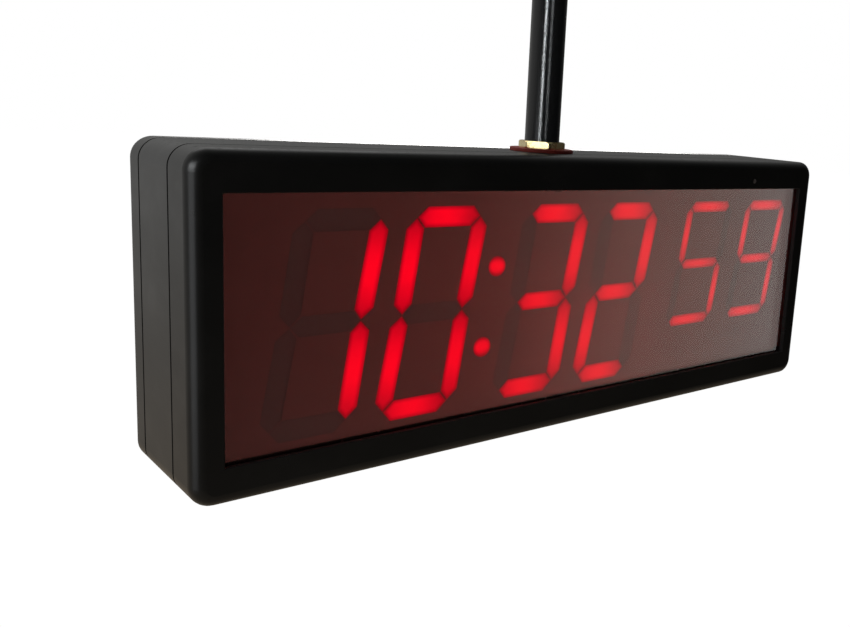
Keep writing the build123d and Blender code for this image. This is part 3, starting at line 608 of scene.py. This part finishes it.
def haze_card():
    """A pale card mirrored in the window alone: nothing at its left end, full from the middle on,
    and brighter and cooler at its far end."""
    data = bpy.data.lights.new("window_card", "AREA")
    data.shape = "RECTANGLE"
    data.size, data.size_y = CARD_SIZE
    data.energy = CARD_RADIANCE * math.pi * CARD_SIZE[0] * CARD_SIZE[1]
    data.use_nodes = True
    nodes = data.node_tree.nodes
    links = data.node_tree.links
    where = nodes.new("ShaderNodeNewGeometry")
    split = nodes.new("ShaderNodeSeparateXYZ")
    links.new(where.outputs["Position"], split.inputs[0])

    def ramp(ends, at_low, at_high):
        node = nodes.new("ShaderNodeMapRange")
        node.interpolation_type = "SMOOTHSTEP"
        links.new(split.outputs["X"], node.inputs[0])
        values = (case_middle.x + ends[0], case_middle.x + ends[1], at_low, at_high)
        for index, value in enumerate(values, start=1):
            node.inputs[index].default_value = value
        return node.outputs[0]

    level = nodes.new("ShaderNodeMath")
    level.operation = "MULTIPLY"
    links.new(ramp(CARD_FADE, 0.0, 1.0), level.inputs[0])
    links.new(ramp(CARD_FAR_END, 1.0, CARD_FAR_GAIN), level.inputs[1])
    links.new(level.outputs[0], nodes["Emission"].inputs["Strength"])
    tint = nodes.new("ShaderNodeMix")
    tint.data_type = "RGBA"
    links.new(ramp(CARD_FAR_END, 0.0, 1.0), tint.inputs[0])
    tint.inputs[6].default_value = CARD_NEAR_COLOUR
    tint.inputs[7].default_value = CARD_FAR_COLOUR
    links.new(tint.outputs[2], nodes["Emission"].inputs["Color"])
    card = bpy.data.objects.new("window_card", data)
    card.location = case_middle + Vector(CARD_PLACE)
    card.rotation_euler = (math.radians(90), 0, 0)
    card.visible_camera = False
    bpy.context.scene.collection.objects.link(card)
    keep_to(card, ["display_window"])


def make_world():
    """White to the camera. For every other ray a room that is dark in front and grey behind the
    object, browner towards the ground, with a dim band low on the right."""
    world = bpy.data.worlds.new("studio")
    bpy.context.scene.world = world
    world.use_nodes = True
    nodes = world.node_tree.nodes
    links = world.node_tree.links

    def ramp(source, low, high, at_low, at_high):
        node = nodes.new("ShaderNodeMapRange")
        node.interpolation_type = "SMOOTHSTEP"
        links.new(source, node.inputs[0])
        for index, value in ((1, low), (2, high), (3, at_low), (4, at_high)):
            node.inputs[index].default_value = value
        return node.outputs[0]

    def product(a, b):
        node = nodes.new("ShaderNodeMath")
        node.operation = "MULTIPLY"
        links.new(a, node.inputs[0])
        links.new(b, node.inputs[1])
        return node.outputs[0]

    split = nodes.new("ShaderNodeSeparateXYZ")
    links.new(nodes.new("ShaderNodeTexCoord").outputs["Generated"], split.inputs[0])
    x, y, z = split.outputs
    room = nodes["Background"]
    behind = ramp(y, *ROOM_TURNS, ROOM_FRONT, ROOM_BEHIND)
    low_right = nodes.new("ShaderNodeMath")
    low_right.operation = "MAXIMUM"
    links.new(ramp(x, 0.0, 0.45, 1.0, LOW_RIGHT_SHARE), low_right.inputs[0])
    links.new(ramp(z, 0.05, 0.40, 0.0, 1.0), low_right.inputs[1])
    lit = nodes.new("ShaderNodeMath")
    lit.operation = "ADD"
    shade = product(behind, ramp(z, -0.45, -0.10, GROUND_SHADE, 1.0))
    links.new(product(shade, low_right.outputs[0]), lit.inputs[0])
    links.new(ramp(z, -0.60, -0.22, GROUND_GLOW, 0.0), lit.inputs[1])
    links.new(lit.outputs[0], room.inputs["Strength"])
    ground = nodes.new("ShaderNodeMix")
    ground.data_type = "RGBA"
    links.new(ramp(z, -0.50, -0.05, 1.0, 0.0), ground.inputs[0])
    ground.inputs[6].default_value = (1.0, 1.0, 0.98, 1)
    ground.inputs[7].default_value = (0.80, 0.66, 0.50, 1)
    links.new(ground.outputs[2], room.inputs["Color"])
    seen = nodes.new("ShaderNodeBackground")
    seen.inputs["Color"].default_value = (1, 1, 1, 1)
    seen.inputs["Strength"].default_value = 1.0
    choose = nodes.new("ShaderNodeMixShader")
    links.new(nodes.new("ShaderNodeLightPath").outputs["Is Camera Ray"], choose.inputs[0])
    links.new(room.outputs[0], choose.inputs[1])
    links.new(seen.outputs[0], choose.inputs[2])
    links.new(choose.outputs[0], nodes["World Output"].inputs[0])


TUBE = ["drop_tube"]
NUT = ["outer_locknut", "fibre_washer"]
CASE_SHELL = ["front_bezel", "mid_housing", "rear_cover"]
REAR_SECTIONS = ["mid_housing", "rear_cover"]
BACK_PARTS = ["rear_cover", "power_switch_body", "power_rocker", "case_screws"]
BACK_PARTS += [node for node in NODES if node.startswith("button_")]
DISPLAY_BACK = [node for node in NODES if SLOTS[node] in ("reflector", "dark_segment")]
COOL = (0.92, 0.97, 1.0)
WARM = (1.0, 0.98, 0.96)
# Name, place from the case's middle, width and height, radiance, colour, and the nodes that it
# lights, or None for all of them.
LIGHTS = [
    ("key_low", (-1.33, -0.52, -0.25), (1.0, 0.6), 1.3, (0.95, 0.97, 1.0), None),
    ("key_high", (-1.25, -0.55, 0.42), (1.0, 0.5), 6.5, (0.95, 0.98, 1.0), CASE_SHELL),
    ("tube_strip", (-1.17, -0.77, 0.45), (0.075, 0.9), 62.0, COOL, TUBE),
    ("tube_streak", (-0.44, -1.33, 0.45), (0.03, 0.9), 26.0, COOL, TUBE),
    ("nut_left", (-1.25, -0.63, -0.05), (0.5, 0.4), 2.0, (1.0, 0.98, 0.92), NUT),
    ("nut_right", (1.15, -0.65, 0.10), (0.9, 0.6), 0.04, (1.0, 0.9, 0.82), NUT),
    ("overhead", (0.1, 0.9, 1.2), (1.2, 0.8), 0.8, (1.0, 1.0, 1.0), None),
    ("display_middle", (0.0, -0.33, -0.05), (0.25, 0.12), 24.0, (1.0, 0.95, 0.92), DISPLAY_BACK),
    ("display_glow", (0.01, -0.14, -0.02), (0.05, 0.08), 19.0, (1.0, 0.10, 0.08), DISPLAY_BACK),
    ("display_right", (0.17, -0.33, -0.04), (0.25, 0.12), 30.0, (0.32, 1.0, 0.85), DISPLAY_BACK),
    ("back_key", (0.9, 1.3, 0.7), (1.0, 0.8), 8.0, WARM, BACK_PARTS),
    ("top_from_front", (-0.2, -1.3, 0.55), (1.6, 0.7), 1.2, WARM, REAR_SECTIONS),
    ("right_from_front", (1.5, -0.9, 0.15), (0.9, 0.9), 2.6, WARM, REAR_SECTIONS),
]
floor_place = case_middle - Vector((0, 0, FLOOR_DROP))
sheet("floor", FLOOR_SIZE, FLOOR_SIZE, floor_place, floor_material())
make_world()
for light in LIGHTS:
    softbox(*light)
haze_card()

bpy.context.scene.view_settings.view_transform = "Standard"
